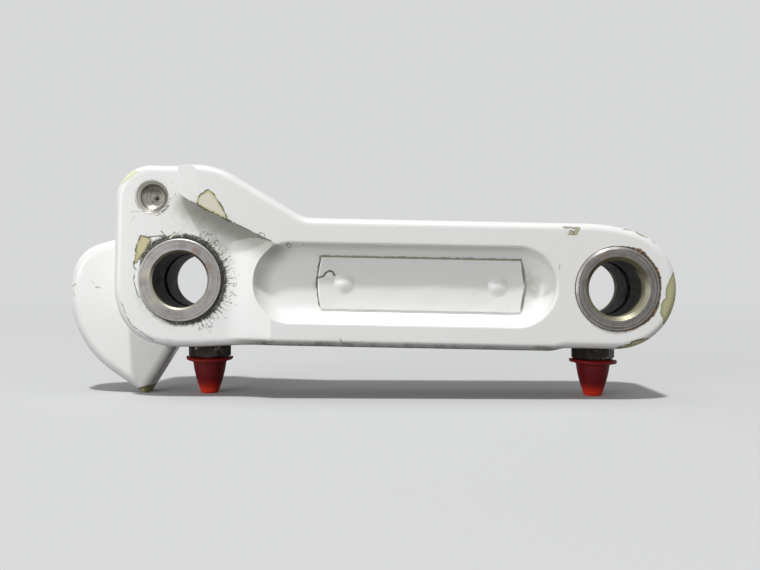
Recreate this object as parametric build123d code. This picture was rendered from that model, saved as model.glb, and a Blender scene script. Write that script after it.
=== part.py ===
from build123d import *
import math
import os

# Side brace link of a light aircraft's landing gear, in millimetres.
# The origin is the centre of the pivot bore. +X runs towards the knee bore, +Y runs along both
# bores to the rear, and +Z is up. The undersides of both eyes are level, so the line between the
# bores leans down a little to the knee. The link stands on its two caps and its rear lobe.

# Bores and bushings
bore_spacing = 123.8
pin_diameter = 15.875
bushing_wall = 1.59
flange_diameter = 23.5
flange_thickness = 0.8
bushing_gap = 4.0
bushing_lead = 0.4
pivot_mouth_chamfer = 0.6
knee_mouth_chamfer = 1.1
pivot_rim_chamfer = 0.25
knee_rim_chamfer = 0.8
rim_chamfer_slope = 0.6
press_clearance = 0.01

# Eyes at the two ends of the link
eye_width = 33.3
knee_offset = -4.0
pivot_radius = 19.2
pivot_heel_radius = 20.4
pivot_heel_angle = 225.0
knee_radius = 17.1

# Arm between the eyes
arm_crown = 1.2
arm_belly = 0.9
arm_edge = 2.2
knee_brow_radius = 50.0
knee_pad_reach = 13.1
knee_rise = 5.7
pivot_heel_length = 26.0
rear_step_drop = 2.0
rear_step_side = 25.0
rear_step_low = -80.0
rear_step_foot = 4.0

# Hump over the rib, from the lug down to the arm
hump_start = 4.5
hump_radius = 22.0
hump_slope = 30.0
hump_foot_radius = 9.0

# Pin lug above the pivot bore
lug_height = 32.8
lug_corner = 10.2
lock_pin_x = -8.4
lock_pin_drop = 9.2
lock_pin_diameter = 9.5
lock_pin_cup = 6.9
lock_pin_cup_depth = 2.4
lock_pin_cone = 118.0
lock_pin_lip = 0.1
lock_pin_chamfer = 0.5

# Rib face, which rises from the lug to the arm, and the hollow below it
crease_x = -1.2
crease_z = 24.3
rib_rise = 6.2
rib_toe_x = 26.5
rib_toe_z = 11.4
cove_start_width = 5.4
cove_width = 6.8
ramp_start = 13.0
ramp_crest = 0.35
ramp_crest_past_toe = 2.0
ramp_crest_slope = 0.12
hollow_end = 32.0
hollow_sections = 5

# Pockets in the front and the back of the arm
pocket_start = 21.0
pocket_knee_margin = 17.1
pocket_centre = -0.1
pocket_height = 22.0
pocket_depth = 6.0
pocket_cove = 5.0
pocket_lip = 0.8

# Lobe behind the pivot eye
lobe_thickness = 11.0
lobe_setback = 8.2
lobe_radius = 28.5
lobe_x = -8.0
lobe_z = -4.2
lobe_edge = 3.0
lobe_cove = 1.5
lobe_toe_x = -13.0
lobe_toe_depth = 0.95
lobe_root_x = -2.2
lobe_root_rise = 2.0
lobe_top_z = 18.8
lobe_top_slope = 16.5
lobe_corner = 11.0

# Identity plate and its rivets
plate_length = 59.4
plate_height = 15.0
plate_thickness = 0.5
plate_bow = 1.1
plate_offset = 5.15
plate_clearance = 0.03
rivet_spacing = 44.0
rivet_head_diameter = 4.6
rivet_head_height = 1.1
rivet_shank_diameter = 2.4
rivet_length = 6.0
rivet_clearance = 0.02
rivet_hole_spare = 0.3
rivet_shoulder_width = 0.72
rivet_shoulder_height = 0.3

# Grease fittings under the bores
pivot_fitting_x = 5.6
knee_fitting_setback = 2.8
spotface_depth = 0.7
spotface_diameter = 13.4
hex_across = 11.1
hex_height = 4.6
shank_diameter = 9.6
shank_length = 6.2
tapping_spare = 0.5
hex_rim_rise = 0.5
oil_hole = 2.6
neck_diameter = 5.2
neck_length = 3.2
head_diameter = 6.5
head_length = 2.2
head_slope = 0.6
nose_length = 1.8
nose_diameter = 4.0
inlet_diameter = 1.6
inlet_length = 0.6
chamber_diameter = 2.8
ball_diameter = 2.4
ball_clearance = 0.04
spring_wire = 0.3
spring_turns = 5
spring_length = 5.0
spring_clearance = 0.12

# Caps pushed over the fittings
cap_height = 11.0
cap_flange_diameter = 14.0
cap_flange_thickness = 1.2
cap_top_diameter = 10.4
cap_waist_diameter = 9.8
cap_waist_height = 6.8
cap_tip_diameter = 6.9
cap_wall = 0.9
cap_seat_clearance = 0.05

# Places worked out from the sizes above
lean = math.degrees(math.asin((pivot_radius - knee_radius) / bore_spacing))
eye_front = -eye_width / 2
eye_rear = eye_width / 2
arm_front = knee_offset - eye_width / 2
arm_rear = knee_offset + eye_width / 2
arm_top = knee_radius + arm_crown
arm_bottom = -knee_radius - arm_belly
body_bore = pin_diameter + 2 * bushing_wall
lock_pin_z = lug_height - lock_pin_drop
ramp_drop = eye_front - arm_front
pocket_end = bore_spacing - pocket_knee_margin
knee_x = bore_spacing * math.cos(math.radians(lean))
knee_z = knee_radius - pivot_radius
fitting_face = spotface_depth - pivot_radius
hex_bottom = fitting_face - hex_height
cap_top = hex_bottom - cap_seat_clearance
floor = cap_top - cap_height
knee_fitting_x = knee_x - knee_fitting_setback
beyond = 60.0
tolerance = 0.01

# Turns what is drawn along the line between the bores into the standing link's own frame
stand = Rot(0, lean, 0)


# Extrudes an outline drawn in X and Z between two depths
def slab(outline, front, rear):
    return extrude(Plane.XZ.offset(-rear) * outline, rear - front, dir=(0, -1, 0))


# Extrudes an outline drawn in X and Y between two heights
def column(outline, low, high):
    return extrude(Pos(0, 0, low) * outline, high - low, dir=(0, 0, 1))


# A round bar along +Y
def bar(x, z, diameter, front, rear):
    return slab(Pos(x, z) * Circle(diameter / 2), front, rear)


# Turns a closed profile of radius and depth about an axis along +Y
def turned_along(x, z, profile):
    return Pos(x, 0, z) * revolve(make_face(profile), Axis.Y)


# Turns a closed profile of radius and height about a vertical axis
def turned_upright(x, y, profile):
    return Pos(x, y, 0) * revolve(Plane.XZ * make_face(profile), Axis.Z)


# Where a point lies at an angle round a circle
def round_point(centre, radius, degrees):
    angle = math.radians(degrees)
    return (centre[0] + radius * math.cos(angle), centre[1] + radius * math.sin(angle))


# The link's silhouette: pivot eye, lug, hump, arm and knee eye
def link_outline():
    knee = (bore_spacing, 0)
    fall = math.radians(hump_slope)
    hump_end = round_point((hump_start, lug_height - hump_radius), hump_radius, 90 - hump_slope)
    foot = hump_end[0] + (hump_end[1] - arm_top) / math.tan(fall)
    blend = hump_foot_radius * math.tan(fall / 2)
    foot_start = (foot - blend * math.cos(fall), arm_top + blend * math.sin(fall))
    foot_end = (foot + blend, arm_top)
    brow_reach = knee_brow_radius - knee_radius
    brow_rise = knee_brow_radius - arm_top
    brow_run = math.sqrt(brow_reach**2 - brow_rise**2)
    brow_start = (bore_spacing - brow_run, arm_top)
    brow_angle = math.degrees(math.atan2(brow_rise, brow_run))
    brow_end = round_point(knee, knee_radius, brow_angle)
    pad_end = (bore_spacing - knee_pad_reach, -knee_radius)
    belly_end = (pad_end[0] - knee_rise, arm_bottom)
    heel_end = (pivot_heel_length, arm_bottom)
    heel = round_point((0, 0), pivot_heel_radius, pivot_heel_angle)
    corner = (lug_corner - pivot_radius, lug_height - lug_corner)
    level = (1, 0)
    back = (-1, 0)
    edges = [
        Line((bore_spacing, -knee_radius), pad_end),
        Spline(pad_end, belly_end, tangents=[back, back]),
        Line(belly_end, heel_end),
        Spline(heel_end, (0, -pivot_radius), tangents=[back, back]),
        Spline((0, -pivot_radius), heel, (-pivot_radius, 0), tangents=[back, (0, 1)]),
        Line((-pivot_radius, 0), (-pivot_radius, corner[1])),
        TangentArc((-pivot_radius, corner[1]), (corner[0], lug_height), tangent=(0, 1)),
        Line((corner[0], lug_height), (hump_start, lug_height)),
        TangentArc((hump_start, lug_height), hump_end, tangent=level),
        Line(hump_end, foot_start),
        TangentArc(foot_start, foot_end, tangent=(math.cos(fall), -math.sin(fall))),
        Line(foot_end, brow_start),
        TangentArc(brow_start, brow_end, tangent=level),
        ThreePointArc(
            brow_end,
            round_point(knee, knee_radius, (brow_angle - 90) / 2),
            (bore_spacing, -knee_radius),
        ),
    ]
    return make_face(edges)


# Everything on the rear of the link beyond the pivot block, which stands proud of the arm
def beside_block(front):
    centre = (0, 0)
    side = round_point(centre, pivot_radius, rear_step_side)
    lowest = round_point(centre, pivot_radius, rear_step_low)
    between = round_point(centre, pivot_radius, (rear_step_side + rear_step_low) / 2)
    step_top = lug_height - rear_step_drop
    far = bore_spacing + beyond
    outline = make_face([
        Line((hump_start, beyond), (hump_start, step_top)),
        Line((hump_start, step_top), side),
        ThreePointArc(side, between, lowest),
        Line(lowest, (rear_step_foot, -beyond)),
        Line((rear_step_foot, -beyond), (far, -beyond)),
        Line((far, -beyond), (far, beyond)),
        Line((far, beyond), (hump_start, beyond)),
    ])
    return slab(outline, front, beyond)


# The forging before anything is cut into its front: full depth at the pivot, thinner along the arm
def blank():
    link = slab(link_outline(), arm_front, eye_rear)
    link = fillet(link.faces().sort_by(Axis.Y)[0].edges(), arm_edge)
    arm = slab(link_outline(), arm_front, arm_rear)
    arm = fillet(arm.faces().sort_by(Axis.Y)[-1].edges(), arm_edge)
    return link - (beside_block(arm_rear - arm_edge) - arm)


# The lobe: a large round back, a rounded upper corner and a toe that is cut off at the floor
def lobe_outline():
    centre = Vector(lobe_x, lobe_z)
    top = Vector(0, lobe_top_z)
    along = Vector(-1, 0).rotate(Axis.Z, lobe_top_slope)
    inward = along.rotate(Axis.Z, 90)
    offset = top + inward * lobe_corner - centre
    run = -offset.dot(along)
    run += math.sqrt((lobe_radius - lobe_corner) ** 2 - offset.dot(offset) + run**2)
    corner_start = top + along * run
    cheek = centre + (offset + along * run).normalized() * lobe_radius
    toe = Vector(lobe_toe_x, floor - lobe_toe_depth)
    turn = math.degrees(math.acos(lobe_radius / (toe - centre).length))
    heel = centre + (toe - centre).normalized().rotate(Axis.Z, -turn) * lobe_radius
    back = centre + ((cheek + heel) / 2 - centre).normalized() * lobe_radius
    root = (lobe_root_x, lobe_root_rise - pivot_radius)
    edges = [
        Line(top, corner_start),
        TangentArc(corner_start, cheek, tangent=along),
        ThreePointArc(cheek, back, heel),
        Line(heel, toe),
        Line(toe, root),
        Line(root, top),
    ]
    return make_face(edges)


def lobe():
    rear = eye_rear - lobe_setback
    block = slab(lobe_outline(), rear - lobe_thickness, rear)
    faces = block.faces().sort_by(Axis.Y)
    return fillet(faces[0].edges() + faces[-1].edges(), lobe_edge)


# The blank and the lobe in one, with a cove where the lobe's front runs into the eye's wall
def blank_with_lobe():
    link = blank() + lobe()
    lobe_front = eye_rear - lobe_setback - lobe_thickness
    wall_reach = pivot_heel_radius + lobe_cove
    corner = [
        edge for edge in link.edges()
        if abs((edge @ 0.5).Y - lobe_front) < tolerance and abs((edge @ 0).Y - lobe_front) < tolerance
        and math.hypot((edge @ 0.5).X, (edge @ 0.5).Z) < wall_reach
    ]
    return fillet(corner, lobe_cove)


# The pivot eye as it stands below the rib, from its pad up the ramp to the arm, with a rounded rim
def pivot_pad():
    ramp_end = rib_toe_x + ramp_crest_past_toe
    pad = (ramp_start, eye_front)
    crest = (ramp_end, arm_front - ramp_crest)
    plan = make_face([
        Line((-beyond, eye_front), pad),
        Spline(pad, crest, tangents=[(1, 0), (1, -ramp_crest_slope)]),
        Line(crest, (ramp_end, eye_rear)),
        Line((ramp_end, eye_rear), (-beyond, eye_rear)),
        Line((-beyond, eye_rear), (-beyond, eye_front)),
    ])
    eye = column(plan, -beyond, beyond) & slab(link_outline(), -beyond, eye_rear)
    rim = [
        edge for edge in eye.edges()
        if (edge @ 0.5).Y < eye_front + tolerance and (edge @ 0.5).X < ramp_end - tolerance
        and abs((edge @ 0.5).X - ramp_start) > tolerance
    ]
    return fillet(rim, arm_edge)


# Cuts the front of the pivot eye and its lug back to the pad, below the rib
def pivot_front_cut():
    ramp_end = rib_toe_x + ramp_crest_past_toe
    rim_depth = eye_front + arm_edge
    rib_slope = rib_rise / ramp_drop
    lug = make_face(Polyline(
        (-beyond, rim_depth), (crease_x, rim_depth), (crease_x, eye_front),
        (crease_x + rib_slope * (beyond + eye_front), -beyond), (-beyond, -beyond), close=True,
    ))
    low = make_face(Polyline(
        (-beyond, 0), (ramp_end, 0), (ramp_end, -beyond), (-beyond, -beyond), close=True,
    ))
    beside = make_face(Polyline(
        (-beyond, rim_depth), (ramp_end, rim_depth), (ramp_end, -beyond), (-beyond, -beyond), close=True,
    ))
    under = rib_hollow() & column(beside, -beyond, beyond)
    return under + column(lug, -beyond, beyond) + slab(low, -beyond, rim_depth) - pivot_pad()


# What lies below the rib's lower edge, whose foot is coved
def rib_hollow():
    step = (hollow_end - crease_x) / (hollow_sections - 1)
    return loft([cove_section(crease_x + step * place) for place in range(hollow_sections)])


# The hollow's section across the arm at one place along the rib
def cove_section(x):
    fall = (crease_z - rib_toe_z) / (rib_toe_x - crease_x)
    share = min(1, (x - crease_x) / rib_rise)
    width = cove_start_width + (cove_width - cove_start_width) * share
    top = crease_z - fall * (x - crease_x) + cove_start_width * (1 - share)
    foot = top - width
    section = make_face([
        Line((eye_front, -beyond), (eye_front, foot)),
        TangentArc((eye_front, foot), (arm_front, top), tangent=(0, 1)),
        Line((arm_front, top), (-beyond, top)),
        Line((-beyond, top), (-beyond, -beyond)),
        Line((-beyond, -beyond), (eye_front, -beyond)),
    ])
    return Plane.YZ.offset(x) * section


# A pocket with coved walls and a rounded lip, sunk in the front or the back of the arm
def pocket(side):
    face = knee_offset + side * eye_width / 2
    bottom = face - side * pocket_depth
    length = pocket_end - pocket_start
    middle = Pos((pocket_start + pocket_end) / 2, pocket_centre)
    tool = slab(middle * SlotOverall(length, pocket_height), min(bottom, face), max(bottom, face))
    ordered = tool.faces().sort_by(Axis.Y)
    web = ordered[-1] if side < 0 else ordered[0]
    tool = fillet(web.edges(), pocket_cove)
    over = side * 2 * pocket_lip
    cover = Rectangle(length + 8 * pocket_lip, pocket_height + 8 * pocket_lip)
    tool = tool + slab(middle * cover, min(face, face + over), max(face, face + over))
    lip = [
        edge for edge in tool.edges()
        if abs((edge @ 0.5).Y - face) < tolerance and abs((edge @ 0.5).Z) < pocket_height / 2 + pocket_lip
        and (edge @ 0.5).X > pocket_start - pocket_lip and (edge @ 0.5).X < pocket_end + pocket_lip
    ]
    return fillet(lip, pocket_lip)


# How deep the plate lies in the pocket, where its long edges meet the coved walls
def plate_depth():
    over = plate_height / 2 - (pocket_height / 2 - pocket_cove)
    rise = pocket_cove - math.sqrt(pocket_cove**2 - over**2)
    return pocket_depth - rise - plate_clearance


# Where the plate's two rivets stand along the arm
def rivet_places():
    middle = (pocket_start + pocket_end) / 2 + plate_offset
    return (middle - rivet_spacing / 2, middle + rivet_spacing / 2)


# The seat, tapped hole and oil way that a grease fitting screws into
def fitting_hole(x, y):
    hole_top = fitting_face + shank_length + tapping_spare
    hole_diameter = shank_diameter + 2 * press_clearance
    seat = Pos(x, y) * column(Circle(spotface_diameter / 2), floor, fitting_face)
    thread = Pos(x, y) * column(Circle(hole_diameter / 2), floor, hole_top)
    return seat + thread + Pos(x, y) * column(Circle(oil_hole / 2), floor, 0)


# The forged and machined link
def link_body():
    link = blank_with_lobe() - pivot_front_cut()
    link = link - pocket(-1) - pocket(1)
    pin_hole = lock_pin_diameter + 2 * press_clearance
    link = link - bar(0, 0, body_bore, -beyond, beyond) - bar(bore_spacing, 0, body_bore, -beyond, beyond)
    link = link - bar(lock_pin_x, lock_pin_z, pin_hole, -beyond, beyond)
    rivet_end = arm_front + plate_depth() - plate_thickness + rivet_length
    for x in rivet_places():
        hole = rivet_shank_diameter + 2 * rivet_clearance
        link = link - bar(x, pocket_centre, hole, arm_front, rivet_end + rivet_hole_spare)
    link = stand * link
    link = link - fitting_hole(pivot_fitting_x, 0) - fitting_hole(knee_fitting_x, knee_offset)
    return link - Pos(0, 0, floor - beyond / 2) * Box(2 * beyond, 2 * beyond, beyond)


# A flanged bushing, pressed into one side of an eye. The side is -1 in front and 1 behind.
def bushing(x, z, middle, side, mouth, rim):
    inner = pin_diameter / 2
    outer = body_bore / 2 - press_clearance
    flange = flange_diameter / 2
    end = bushing_gap / 2
    face = eye_width / 2
    out = face + flange_thickness
    points = [
        (inner, end), (outer - bushing_lead, end), (outer, end + bushing_lead), (outer, face),
        (flange, face), (flange, out - rim * rim_chamfer_slope), (flange - rim, out), (inner + mouth, out),
        (inner, out - mouth),
    ]
    outline = Polyline(*[(radius, middle + side * depth) for radius, depth in points], close=True)
    return turned_along(x, z, outline)


# The lock pin, with a cupped and centre-drilled front end
def lock_pin():
    radius = lock_pin_diameter / 2
    cup = lock_pin_cup / 2
    rim = radius - lock_pin_lip
    tip = eye_front + lock_pin_cup_depth + cup / math.tan(math.radians(lock_pin_cone / 2))
    points = [
        (0, tip), (cup, eye_front + lock_pin_cup_depth), (cup, eye_front + rim - cup),
        (rim, eye_front), (radius, eye_front), (radius, eye_rear - lock_pin_chamfer),
        (radius - lock_pin_chamfer, eye_rear), (0, eye_rear),
    ]
    return stand * turned_along(lock_pin_x, lock_pin_z, Polyline(*points, close=True))


# The thin plate with bowed ends that bridges the front pocket
def identity_plate():
    middle = (pocket_start + pocket_end) / 2 + plate_offset
    half_length = plate_length / 2
    straight = half_length - plate_bow
    top = plate_height / 2
    outline = make_face([
        Line((-straight, -top), (straight, -top)),
        ThreePointArc((straight, -top), (half_length, 0), (straight, top)),
        Line((straight, top), (-straight, top)),
        ThreePointArc((-straight, top), (-half_length, 0), (-straight, -top)),
    ])
    rear = arm_front + plate_depth()
    plate = slab(Pos(middle, pocket_centre) * outline, rear - plate_thickness, rear)
    for x in rivet_places():
        hole = rivet_shank_diameter + 2 * rivet_clearance
        plate = plate - bar(x, pocket_centre, hole, -beyond, beyond)
    return stand * plate


# A round-headed drive rivet through the plate into the web
def plate_rivet(x):
    radius = rivet_shank_diameter / 2
    head = rivet_head_diameter / 2
    seat = arm_front + plate_depth() - plate_thickness
    crown = seat - rivet_head_height
    end = seat + rivet_length
    shoulder = (rivet_shoulder_width * head, crown + rivet_shoulder_height * rivet_head_height)
    profile = [
        Line((0, end), (0, crown)),
        ThreePointArc((0, crown), shoulder, (head, seat)),
        Line((head, seat), (radius, seat)),
        Line((radius, seat), (radius, end)),
        Line((radius, end), (0, end)),
    ]
    return stand * turned_along(x, pocket_centre, profile)


# Height of the ball's centre when it closes the inlet, resting on the 45 degree seat
def ball_rest():
    seat_start = hex_bottom - neck_length - head_length - nose_length + inlet_length
    return seat_start - inlet_diameter / 2 + math.sqrt(2) * (ball_diameter / 2 + ball_clearance)


# A grease fitting: threaded shank, hexagon and the nipple that a grease gun grips
def grease_fitting(x, y):
    hexagon = column(RegularPolygon(hex_across / 2, 6, major_radius=False), hex_bottom, fitting_face)
    rim = Pos(0, 0, hex_bottom) * Cone(
        hex_across / 2, hex_across / 2 + hex_height / hex_rim_rise, hex_height,
        align=(Align.CENTER, Align.CENTER, Align.MIN),
    )
    neck = neck_diameter / 2
    head = head_diameter / 2
    head_top = hex_bottom - neck_length
    head_low = head_top - head_length
    tip = head_low - nose_length
    inlet = inlet_diameter / 2
    chamber = chamber_diameter / 2
    seat_start = tip + inlet_length
    seat_end = seat_start + chamber - inlet
    chamber_top = ball_rest() + ball_diameter / 2 + spring_length + spring_clearance
    top = fitting_face + shank_length
    shank = shank_diameter / 2
    nipple = turned_upright(0, 0, Polyline(
        (0, top), (shank, top), (shank, fitting_face), (neck, hex_bottom), (neck, head_top),
        (head, head_top - head_slope), (head, head_low), (nose_diameter / 2, tip), (0, tip), close=True,
    ))
    passage = turned_upright(0, 0, Polyline(
        (0, top + 1), (inlet, top + 1), (inlet, chamber_top), (chamber, chamber_top),
        (chamber, seat_end), (inlet, seat_start), (inlet, tip - 1), (0, tip - 1), close=True,
    ))
    return Pos(x, y) * ((hexagon & rim) + nipple - passage)


def check_ball(x, y):
    return Pos(x, y, ball_rest()) * Sphere(ball_diameter / 2)


# The coil spring that holds the ball on its seat
def check_spring(x, y):
    radius = (chamber_diameter - spring_wire) / 2 - spring_clearance
    wire = spring_wire / 2
    pitch = (spring_length - spring_wire - 2 * spring_clearance) / spring_turns
    start = ball_rest() + ball_diameter / 2 + spring_clearance + wire
    coil = Helix(pitch, pitch * spring_turns, radius)
    section = Plane(origin=coil @ 0, z_dir=coil % 0) * Circle(wire)
    return Pos(x, y, start) * sweep(section, path=coil, is_frenet=True)


# A tapered cap with a wide flange round its open top
def fitting_cap(x, y):
    flange = cap_flange_diameter / 2
    top = cap_top_diameter / 2
    waist = cap_waist_diameter / 2
    tip = cap_tip_diameter / 2
    waist_z = floor + cap_waist_height
    return turned_upright(x, y, Polyline(
        (0, floor), (tip, floor), (waist, waist_z), (top, cap_top - cap_flange_thickness),
        (flange, cap_top - cap_flange_thickness), (flange, cap_top), (top - cap_wall, cap_top),
        (waist - cap_wall, waist_z), (tip - cap_wall, floor + cap_wall), (0, floor + cap_wall), close=True,
    ))


# Every piece of the brace, by the name of its node
def pieces():
    parts = {"link_body": link_body(), "lock_pin": lock_pin(), "identity_plate": identity_plate()}
    left_rivet, right_rivet = rivet_places()
    parts["left_plate_rivet"] = plate_rivet(left_rivet)
    parts["right_plate_rivet"] = plate_rivet(right_rivet)
    for end, side in (("front", -1), ("rear", 1)):
        parts["pivot_bushing_" + end] = bushing(0, 0, 0, side, pivot_mouth_chamfer, pivot_rim_chamfer)
        parts["knee_bushing_" + end] = bushing(
            knee_x, knee_z, knee_offset, side, knee_mouth_chamfer, knee_rim_chamfer
        )
    for eye, x, y in (("pivot", pivot_fitting_x, 0), ("knee", knee_fitting_x, knee_offset)):
        parts[eye + "_grease_fitting"] = grease_fitting(x, y)
        parts[eye + "_check_ball"] = check_ball(x, y)
        parts[eye + "_check_spring"] = check_spring(x, y)
        parts[eye + "_fitting_cap"] = fitting_cap(x, y)
    return parts


os.makedirs("parts", exist_ok=True)
for node, solid in pieces().items():
    export_step(solid, "parts/" + node + ".step")
    print(node, round(solid.volume, 2))
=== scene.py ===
import math

import bpy
import numpy as np
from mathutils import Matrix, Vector


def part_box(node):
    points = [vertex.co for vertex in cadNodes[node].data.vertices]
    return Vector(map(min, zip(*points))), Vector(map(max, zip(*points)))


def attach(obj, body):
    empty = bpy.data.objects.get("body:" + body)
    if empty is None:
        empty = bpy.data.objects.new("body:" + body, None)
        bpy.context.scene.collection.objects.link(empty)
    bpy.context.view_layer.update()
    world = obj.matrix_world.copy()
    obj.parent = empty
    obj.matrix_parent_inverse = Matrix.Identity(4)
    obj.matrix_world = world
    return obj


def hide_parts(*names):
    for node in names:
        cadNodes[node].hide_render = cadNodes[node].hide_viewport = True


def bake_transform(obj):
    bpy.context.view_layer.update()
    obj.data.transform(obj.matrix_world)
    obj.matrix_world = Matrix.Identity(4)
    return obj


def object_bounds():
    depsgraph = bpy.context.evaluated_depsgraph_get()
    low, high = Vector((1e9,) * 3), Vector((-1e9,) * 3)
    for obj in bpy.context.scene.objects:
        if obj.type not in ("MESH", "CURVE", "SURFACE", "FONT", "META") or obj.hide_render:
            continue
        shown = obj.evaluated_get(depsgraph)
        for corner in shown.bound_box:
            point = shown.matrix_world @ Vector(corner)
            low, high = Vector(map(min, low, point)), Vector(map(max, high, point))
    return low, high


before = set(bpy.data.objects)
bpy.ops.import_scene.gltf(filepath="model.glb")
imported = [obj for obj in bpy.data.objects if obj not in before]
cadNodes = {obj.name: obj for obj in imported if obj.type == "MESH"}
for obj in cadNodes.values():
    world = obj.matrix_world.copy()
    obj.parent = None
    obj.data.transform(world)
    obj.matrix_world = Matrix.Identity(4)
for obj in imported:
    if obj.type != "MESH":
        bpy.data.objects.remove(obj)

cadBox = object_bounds()
print("stage: frame,", len(cadNodes), "nodes")

# The brace stands on its caps and lobe, so its bores lean by this much; patterns are laid out with them level
lean = math.asin(2.1 / 123.8)
pivotEye = (0.0, 0.0)
kneeEye = (123.8, 0.0)
pinPlace = (-8.4, 23.6)

cameraSettings = {
    "lens": 42.3, "sensor": 36.0, "place": (0.0557, -0.27145, 0.00016),
    "roll": -0.16, "shift": (0.0066, -0.0066), "clip": (0.01, 20.0),
}


def addObject(name, data):
    made = bpy.data.objects.new(name, data)
    bpy.context.scene.collection.objects.link(made)
    return made


def makeCamera(settings):
    data = bpy.data.cameras.new("photoCamera")
    data.lens = settings["lens"]
    data.sensor_width = settings["sensor"]
    data.shift_x, data.shift_y = settings["shift"]
    data.clip_start, data.clip_end = settings["clip"]
    camera = addObject("photoCamera", data)
    camera.location = settings["place"]
    camera.rotation_euler = (math.pi / 2, math.radians(settings["roll"]), 0.0)
    bpy.context.scene.camera = camera


makeCamera(cameraSettings)
print("stage: camera")


# A node tree being built: any input may be a number, a tuple or another node's output
class Builder:
    def __init__(self, tree):
        self.tree = tree
        tree.nodes.clear()

    def put(self, value, socket):
        if isinstance(value, bpy.types.NodeSocket):
            self.tree.links.new(value, socket)
        else:
            socket.default_value = (*value, 1.0) if socket.type == "RGBA" else value

    def node(self, kind, inputs=None, **settings):
        made = self.tree.nodes.new("ShaderNode" + kind)
        for name, value in settings.items():
            setattr(made, name, value)
        for name, value in (inputs or {}).items():
            self.put(value, made.inputs[name])
        return made

    def math(self, operation, *values):
        return self.node("Math", dict(enumerate(values)), operation=operation).outputs[0]

    def vector(self, operation, *values):
        made = self.node("VectorMath", operation=operation)
        for place, value in enumerate(values):
            self.put(value, made.inputs["Scale" if operation == "SCALE" and place == 1 else place])
        single = operation in ("DOT_PRODUCT", "LENGTH", "DISTANCE")
        return made.outputs["Value" if single else "Vector"]

    # 0 below low and 1 above high, or the other way round where low is the larger
    def rise(self, value, low, high):
        made = self.node(
            "MapRange", {"Value": value, "From Min": low, "From Max": high},
            interpolation_type="SMOOTHSTEP", clamp=False,
        )
        return made.outputs["Result"]

    def mix(self, share, first, second):
        return self.node("Mix", {0: share, 6: first, 7: second}, data_type="RGBA").outputs[2]

    # joins values by one operation, each as soon as it is made, which keeps few of them waiting
    def gather(self, operation, values):
        total = None
        for value in values:
            total = value if total is None else self.math(operation, total, value)
        return total

    def fold(operation):
        return lambda self, *values: self.gather(operation, values)

    add, minus, times = fold("ADD"), fold("SUBTRACT"), fold("MULTIPLY")
    most, least = fold("MAXIMUM"), fold("MINIMUM")

    def away(self, share):
        return self.minus(1.0, share)

    def gap(self, value, place):
        return self.math("ABSOLUTE", self.minus(value, place))


# Millimetres with the bores level, the same without depth, and the three numbers as a colour. They sit in a
# group because Cycles puts a tree's own changes of vector kind after all its nodes, and a large material then
# holds more numbers at once than fit.
def makeLevelGroup():
    group = bpy.data.node_groups.new("levelPlace", "ShaderNodeTree")
    for name, kind in (("Place", "Vector"), ("Flat", "Vector"), ("Parts", "Color")):
        group.interface.new_socket(name, in_out="OUTPUT", socket_type="NodeSocket" + kind)
    r = Builder(group)
    turned = {"Vector": r.node("TexCoord").outputs["Object"], "Rotation": (0.0, -lean, 0.0)}
    full, flat = [
        r.node("Mapping", {**turned, "Scale": (1000.0, depth, 1000.0)}).outputs[0] for depth in (1000.0, 0.0)
    ]
    result = group.nodes.new("NodeGroupOutput")
    for source, name in ((full, "Place"), (flat, "Flat"), (full, "Parts")):
        r.put(source, result.inputs[name])
    return group


levelGroup = makeLevelGroup()


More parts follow.
